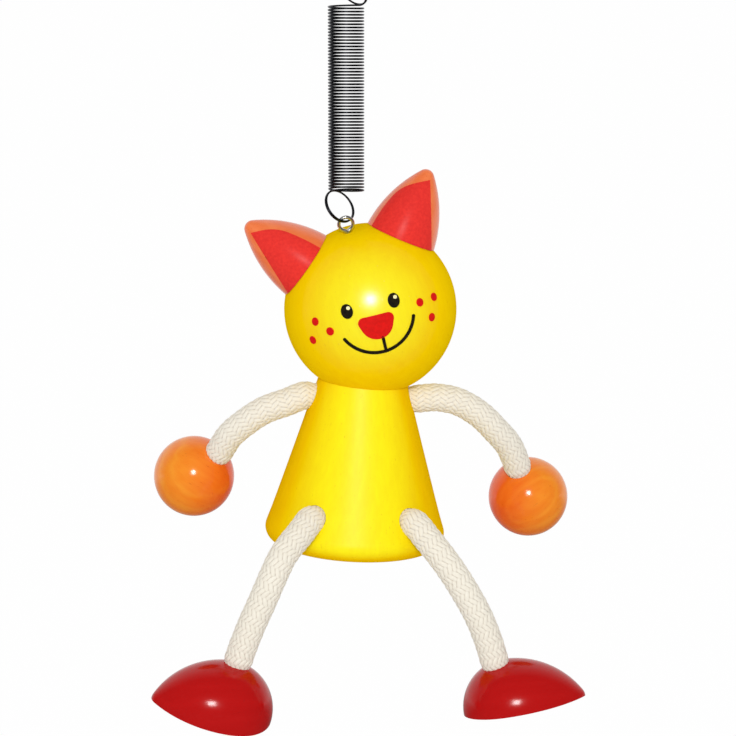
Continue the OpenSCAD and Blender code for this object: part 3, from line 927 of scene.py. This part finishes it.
def makeEarTurn(sign):
    own = headTurn @ inDegrees((ears["back"], sign * ears["spread"], 0))
    axis = own @ Vector((0, 0, 1))
    view = Vector(photoView["place"]) - headCentre
    lean = Matrix.Rotation(radians(ears["forward"]), 3, axis.cross(view).normalized())
    middle, e = np.array(headMiddle), np.array(axis)

    def reshape(co):
        p = co / mm - middle
        along = (p @ e)[:, None] * e
        p = along + (p - along) * ears["wider"]
        return (p @ np.array(lean).T + middle) * mm

    def reshapePaint(co):
        # the paint reaches farther round to the ear's inner side
        p = (co / mm - middle) @ np.array(own)
        far = np.hypot(p[:, 0], p[:, 1])
        turn = sign * np.arctan2(p[:, 0], -p[:, 1])
        tip = ears["paintTip"]

        def edge(corner):
            rise = np.clip((p[:, 2] - corner[1]) / (tip[1] - corner[1]), 0, 1)
            return np.arcsin(np.clip((corner[0] + (tip[0] - corner[0]) * rise) / far, -1, 1))

        inner, outer = edge(ears["paintInner"]), edge(ears["paintOuter"])
        share = np.clip((turn - inner) / np.maximum(outer - inner, 0.02), 0, 1)
        reach = -radians(ears["paintLeft"] if sign < 0 else ears["paintRight"])
        wide = np.clip((tip[1] - p[:, 2]) / ears["paintNarrows"], 0, 1)
        reach = inner + (reach - inner) * wide * (2 - wide)
        turn = sign * (reach + share * (outer - reach))
        p[:, 0], p[:, 1] = far * np.sin(turn), -far * np.cos(turn)
        return reshape((p @ np.array(own).T + middle) * mm)

    return lean @ own, reshape, reshapePaint


# the feet: half of an egg turned about the line from heel to toe

foot = {
    "radius": 11.5, "toe": 18.2, "tip": 2.8, "bore": 6.2, "drillDepth": 18, "turns": 96,
    "Left": (-16, -10, 192), "Right": (-4, -14, -12),
}


def footProfile():
    r, toe, tip = foot["radius"], foot["toe"], foot["tip"]
    curve = (toe ** 2 - 2 * toe * tip + r ** 2) / (2 * (r - tip))
    meet = math.atan2(curve - r, toe - tip)
    points = [(r * cos(t), r * sin(t)) for t in np.linspace(pi, pi / 2, 24)[:-1]]
    points += [(curve * cos(t), curve * sin(t) - curve + r)
               for t in np.linspace(pi / 2, meet, 30)[:-1]]
    return points + [(toe - tip + tip * cos(t), tip * sin(t))
                     for t in np.linspace(meet, 0, 12)]


def makeFootMesh(side, job):
    place = limbMiddle(job, foot["radius"])
    turn = bodyTurn @ inDegrees(foot[side])
    profile = footProfile()
    half = np.linspace(0, pi, foot["turns"])
    shape = bmesh.new()
    rows = []
    for a, r in profile[1:-1]:
        ring = [Vector((a, r * cos(t), r * sin(t))) for t in half]
        rows.append([shape.verts.new(place + turn @ p * mm) for p in ring])
    ends = [shape.verts.new(place + turn @ Vector((profile[k][0], 0, 0)) * mm) for k in (0, -1)]
    for low, high in zip(rows, rows[1:]):
        for k in range(foot["turns"] - 1):
            shape.faces.new((low[k], high[k], high[k + 1], low[k + 1]))
        shape.faces.new((low[0], low[-1], high[-1], high[0]))
    for end, row in zip(ends, (rows[0], rows[-1])):
        for k in range(foot["turns"] - 1):
            shape.faces.new((end, row[k], row[k + 1]))
        shape.faces.new((end, row[-1], row[0]))
    bmesh.ops.recalc_face_normals(shape, faces=shape.faces)
    return drilled(asMesh(shape, "footBlank" + side), job)


def drilled(solid, job):
    # the cord's hole, from its end in the wood to well outside
    tip, mouth = onBody(job["route"][-1]), onBody(job["route"][-2])
    out = (mouth - tip).normalized()
    radius, depth = foot["bore"] / 2 * mm, foot["drillDepth"] * mm
    turn = out.to_track_quat("Z", "Y").to_matrix().to_4x4()
    place = Matrix.Translation(tip + out * depth / 2) @ turn
    drill = bmesh.new()
    bmesh.ops.create_cone(
        drill, cap_ends=True, segments=64, radius1=radius, radius2=radius, depth=depth, matrix=place)
    blank = newObject("footBlank", solid)
    tool = newObject("cordDrill", asMesh(drill, "cordDrill"))
    cut = blank.modifiers.new("drill", "BOOLEAN")
    cut.object = tool
    cut.operation = "DIFFERENCE"
    mesh = evaluated(blank)
    for item in (blank, tool):
        bpy.data.objects.remove(item)
    return mesh


# the printed face: paint skins on the ball, drawn flat and laid on its front

face = {
    "turn": (-0.8, 2.8, -0.5), "lift": 0.12, "sink": -0.03, "step": 0.3, "line": 0.75,
    "eyeGap": 11.3, "eyeHeight": 3.5, "eyeWidth": 2.8, "eyeZ": 2.4,
    "glintRight": 0.34, "glintUp": 0.4, "glintSize": 0.32, "glintLift": 0.06,
    "smileMiddle": (0.5, 0.4), "smileRadius": 9.3, "smileEnds": (208, 343),
    "noseTop": 0.1, "noseShift": 0.5, "noseWidth": 8.6, "noseHeight": 5.8, "noseCorner": 1.3,
    "noseChin": 3.9, "lipShift": 0.7, "freckle": 1.0,
    "rings": (0.0, 0.25, 0.5, 0.75, 0.92, 1.0), "roundEnd": (0, 0.5, 1.0, 1.4),
}
faceTurn = headTurn @ inDegrees(face["turn"])


def ballFront(x, z):
    return Vector((x, -math.sqrt(figure["headRadius"] ** 2 - x * x - z * z), z))


def onBall(x, z, lift):
    r = figure["headRadius"]
    return (headMiddle + faceTurn @ (ballFront(x, z) * ((r + lift) / r))) * mm


def skin(grids, lift=0.0):
    # each grid is rows of flat points, from its middle or one end outwards
    shape = bmesh.new()
    for rows, closed in grids:
        top = [[shape.verts.new(onBall(x, z, face["lift"] + lift)) for x, z in row] for row in rows]
        count = len(rows[0])
        edge = rows[-1] if closed else rows[0] + rows[-1][::-1]
        rim = top[-1] if closed else top[0] + top[-1][::-1]
        hem = [shape.verts.new(onBall(x, z, face["sink"])) for x, z in edge]
        for low, high in zip(top, top[1:]):
            for k in range(count if closed else count - 1):
                n = (k + 1) % count
                shape.faces.new((low[k], high[k], high[n], low[n]))
        for k in range(len(rim)):
            n = (k + 1) % len(rim)
            shape.faces.new((rim[k], hem[k], hem[n], rim[n]))
    bmesh.ops.remove_doubles(shape, verts=shape.verts, dist=0.000001)
    bmesh.ops.recalc_face_normals(shape, faces=shape.faces)
    return asMesh(shape, "skin")


def filled(corners):
    outline = []
    for k, (x, z) in enumerate(corners):
        nx, nz = corners[(k + 1) % len(corners)]
        count = max(1, round(math.hypot(nx - x, nz - z) / face["step"]))
        outline += [(x + (nx - x) * i / count, z + (nz - z) * i / count) for i in range(count)]
    mx = sum(p[0] for p in outline) / len(outline)
    mz = sum(p[1] for p in outline) / len(outline)
    return [[(mx + (x - mx) * s, mz + (z - mz) * s) for x, z in outline]
            for s in face["rings"]], True


def oval(x, z, wide, high):
    return filled([(x + wide * cos(t), z + high * sin(t))
                   for t in np.linspace(0, 2 * pi, 40, endpoint=False)])


def stroke(line, width):
    # a line with round ends
    points = [Vector(p) for p in line]
    rows = [[], [], []]
    last = len(points) - 1
    for i, p in enumerate(points):
        d = (points[min(i + 1, last)] - points[max(i - 1, 0)]).normalized()
        side = Vector((-d.y, d.x))
        swell = [(0.0, 1.0)]
        if i in (0, last):
            way = 1 if i else -1
            swell = [(sin(t) * way, cos(t)) for t in face["roundEnd"]][::way]
        for ahead, wide in swell:
            q = p + d * ahead * width / 2
            for row, share in zip(rows, (-1, 0, 1)):
                row.append(tuple(q + side * share * wide * width / 2))
    return rows, False


def noseOutline():
    # the hull of three discs, two at the upper corners and a big one for the chin
    half, top, shift = face["noseWidth"] / 2, face["noseTop"], face["noseShift"]
    corner, chin = face["noseCorner"], face["noseChin"]
    mids = [(shift + half - corner, top - corner, corner),
            (shift - half + corner, top - corner, corner),
            (shift, top - face["noseHeight"] + chin, chin)]

    def side(i, j):
        (ax, az, ar), (bx, bz, br) = mids[i], mids[j]
        d = Vector((bx - ax, bz - az))
        return math.atan2(-d.x, d.y) + math.asin((ar - br) / d.length)

    points = []
    for i, (x, z, r) in enumerate(mids):
        a = side((i + 2) % 3, i)
        sweep = (side(i, (i + 1) % 3) - a) % (2 * pi)
        points += [(x + r * cos(t), z + r * sin(t)) for t in np.linspace(a, a + sweep, 11)]
    return points


freckleSpots = [
    (-13.503, 1.491), (-10.605, -1.407), (-15.099, -2.793),
    (11.592, 0.294), (15.204, 0.504), (13.608, -3.99),
]


def freckle(x, z):
    # round on the ball, so narrower towards its side when seen from the front
    mid = ballFront(x, z)
    u = mid.cross(Vector((0, 0, 1))).normalized()
    v = mid.cross(u).normalized()
    ring = [mid + face["freckle"] * (u * cos(t) + v * sin(t))
            for t in np.linspace(0, 2 * pi, 28, endpoint=False)]
    return filled([(p.x, p.z) for p in ring])


def makeFace():
    gap, high, wide = face["eyeGap"] / 2, face["eyeHeight"] / 2, face["eyeWidth"] / 2
    glints = []
    for side, sign in (("left", -1), ("right", 1)):
        mesh = skin([oval(sign * gap, face["eyeZ"], wide, high)])
        dress("eye_" + side, "eye" + side.title(), blackPaint, 0, mesh)
        x, z = sign * gap + wide * face["glintRight"], face["eyeZ"] + high * face["glintUp"]
        glints.append(oval(x, z, wide * face["glintSize"], wide * face["glintSize"]))
    mesh = skin(glints, face["glintLift"])
    dress("eye_glints", "eyeGlints", palePaint, 0, mesh)
    dress("nose", "nose", redPaint, 0, skin([filled(noseOutline())]))
    mx, mz = face["smileMiddle"]
    r = face["smileRadius"]
    smile = [(mx + r * cos(radians(t)), mz + r * sin(radians(t)))
             for t in np.linspace(*face["smileEnds"], 60)]
    x = face["noseShift"] + face["lipShift"]
    lip = [(x, z) for z in np.linspace(face["noseTop"] - face["noseHeight"] + 0.15, mz - r, 12)]
    mesh = skin([stroke(smile, face["line"]), stroke(lip, face["line"])])
    dress("mouth", "mouth", blackPaint, 0, mesh)
    mesh = skin([freckle(*spot) for spot in freckleSpots])
    dress("freckles", "freckles", redPaint, 0, mesh)


limbs = {
    "boreDepth": 6.5, "handRadius": 10, "neckGrain": (1, 0, 38),
    "handGrain": (0.9, 0.4, 1.3), "footGrain": (0, pi / 2, 0.15),
}
# painted shade on the hands, deeper orange on the side towards the body
handShade = {"shaded": (0.93, 0.42, 0.6), "shadeFrom": (-0.3, 0.9), "shadeOver": 0.01}


def limbMiddle(job, radius):
    p = [Vector(q) for q in job["route"][-2:]]
    return onBody(p[1] + (radius - limbs["boreDepth"]) * (p[1] - p[0]).normalized())


for side in ("Left", "Right"):
    low = side.lower()
    sign = -1 if side == "Left" else 1
    earTurn, leanEar, spreadPaint = makeEarTurn(sign)
    earMiddle = headCentre + earTurn @ Vector((0, 0, ears["grainAt"] * mm))
    earOrange = lacqueredWood("earOrange" + side, earLook, earMiddle, earTurn.to_euler())
    beech = lacqueredWood("earPegBeech" + side, beechLook, earMiddle, earTurn.to_euler())
    dress("ear_" + low, "ear" + side, earOrange, 0.15, reshape=leanEar)
    dress("ear_paint_" + low, "earPaint" + side, earPaint, 0.03, reshape=spreadPaint)
    dress("ear_peg_" + low, "earPeg" + side, beech, 0.3, reshape=leanEar)
    nod, tip, turn = limbs["handGrain"]
    handMiddle = limbMiddle(cords["armCord" + side], limbs["handRadius"])
    handLook = dict(orangeLook, shadeToward=-sign, **handShade)
    handTurn = (nod, tip * sign, turn * sign)
    handOrange = lacqueredWood("handOrange" + side, handLook, handMiddle, handTurn)
    dress("hand_" + low, "hand" + side, handOrange, 0.25, body="hand_" + low)
    footJob = cords["legCord" + side]
    footMiddle = limbMiddle(footJob, foot["radius"])
    footRed = lacqueredWood("footRed" + side, redLook, footMiddle, limbs["footGrain"])
    dress("foot_" + low, "foot" + side, footRed, 0.35,
          makeFootMesh(side, footJob), body="foot_" + low)

neckMiddle = onBody(limbs["neckGrain"])
neckBeech = lacqueredWood("neckDowelBeech", beechLook, neckMiddle, bodyTurn.to_euler())
dress("neck_dowel", "neckDowel", neckBeech, 0.3)
makeFace()
print("spring cat: wood and paint dressed")


# studio

studio = {
    "floor": -0.235, "floorReach": 40.0, "paper": (0.85, 0.85, 0.85, 1), "paperGlow": 0.985,
    "softboxSide": 0.2, "softboxPower": 6.4, "softboxDistance": 1.2, "softboxAzimuth": -5.3,
    "softboxHeight": 22, "ambient": 0.62, "roomMirrored": 0.06, "floorBehind": (0.05, 0.4),
    "skyBehind": (0.05, 0.6),
}


def makeFloor(size):
    reach = size["floorReach"]
    mesh = bpy.data.meshes.new("paperFloor")
    corners = [(-reach, -reach), (reach, -reach), (reach, reach), (-reach, reach)]
    mesh.from_pydata([(x, y, size["floor"]) for x, y in corners], [], [(0, 1, 2, 3)])
    floor = newObject("paperFloor", mesh)
    material = bpy.data.materials.new("whitePaper")
    tree = bareTree(material)
    light = outlets(tree, put(tree, "ShaderNodeLightPath"))
    glossy = light["Is Glossy Ray"]
    seen = light["Is Camera Ray"].op("MAXIMUM", glossy)
    seen = seen.op("MAXIMUM", light["Is Transmission Ray"]) * size["paperGlow"]
    # in the lacquer the paper shines behind the toy only, as the backdrop does
    _, y, _ = apart(tree, put(tree, "ShaderNodeNewGeometry").outputs["Position"])
    before = y.ramp(*size["floorBehind"]).flip()
    strength = (glossy * before * (1 - size["roomMirrored"])).flip()
    paper = first(tree, "ShaderNodeBsdfDiffuse", {"Color": size["paper"]})
    glow = first(tree, "ShaderNodeEmission", {"Color": (1, 1, 1, 1), "Strength": strength})
    mix = first(tree, "ShaderNodeMixShader", {0: seen, 1: paper, 2: glow})
    put(tree, "ShaderNodeOutputMaterial", {"Surface": mix})
    mesh.materials.append(material)


def makeWorld(size):
    world = bpy.data.worlds.new("studioWorld")
    tree = bareTree(world)
    light = outlets(tree, put(tree, "ShaderNodeLightPath"))
    # the white backdrop stands behind the toy, and the dim room before it
    _, y, _ = apart(tree, put(tree, "ShaderNodeTexCoord").outputs["Generated"])
    backdrop = y.ramp(*size["skyBehind"])
    glossy = light["Is Glossy Ray"]
    seen = light["Is Camera Ray"].op("MAXIMUM", glossy * backdrop)
    seen = seen.op("MAXIMUM", light["Is Transmission Ray"])
    rest = glossy * (size["roomMirrored"] - size["ambient"]) + size["ambient"]
    strength = seen + seen.flip() * rest
    sky = first(tree, "ShaderNodeBackground", {"Color": (1, 1, 1, 1), "Strength": strength})
    put(tree, "ShaderNodeOutputWorld", {"Surface": sky})
    scene.world = world


def makeSoftbox(size):
    data = bpy.data.lights.new("softbox", "AREA")
    data.shape = "SQUARE"
    data.size = size["softboxSide"]
    data.energy = size["softboxPower"]
    lamp = newObject("softbox", data)
    a, e = radians(size["softboxAzimuth"]), radians(size["softboxHeight"])
    direction = Vector((sin(a) * cos(e), -cos(a) * cos(e), sin(e)))
    lamp.location = Vector(photoView["target"]) + direction * size["softboxDistance"]
    lamp.rotation_euler = direction.to_track_quat("Z", "Y").to_euler()


makeFloor(studio)
makeWorld(studio)
makeSoftbox(studio)
scene.view_settings.view_transform = "Standard"
print("spring cat: studio ready")
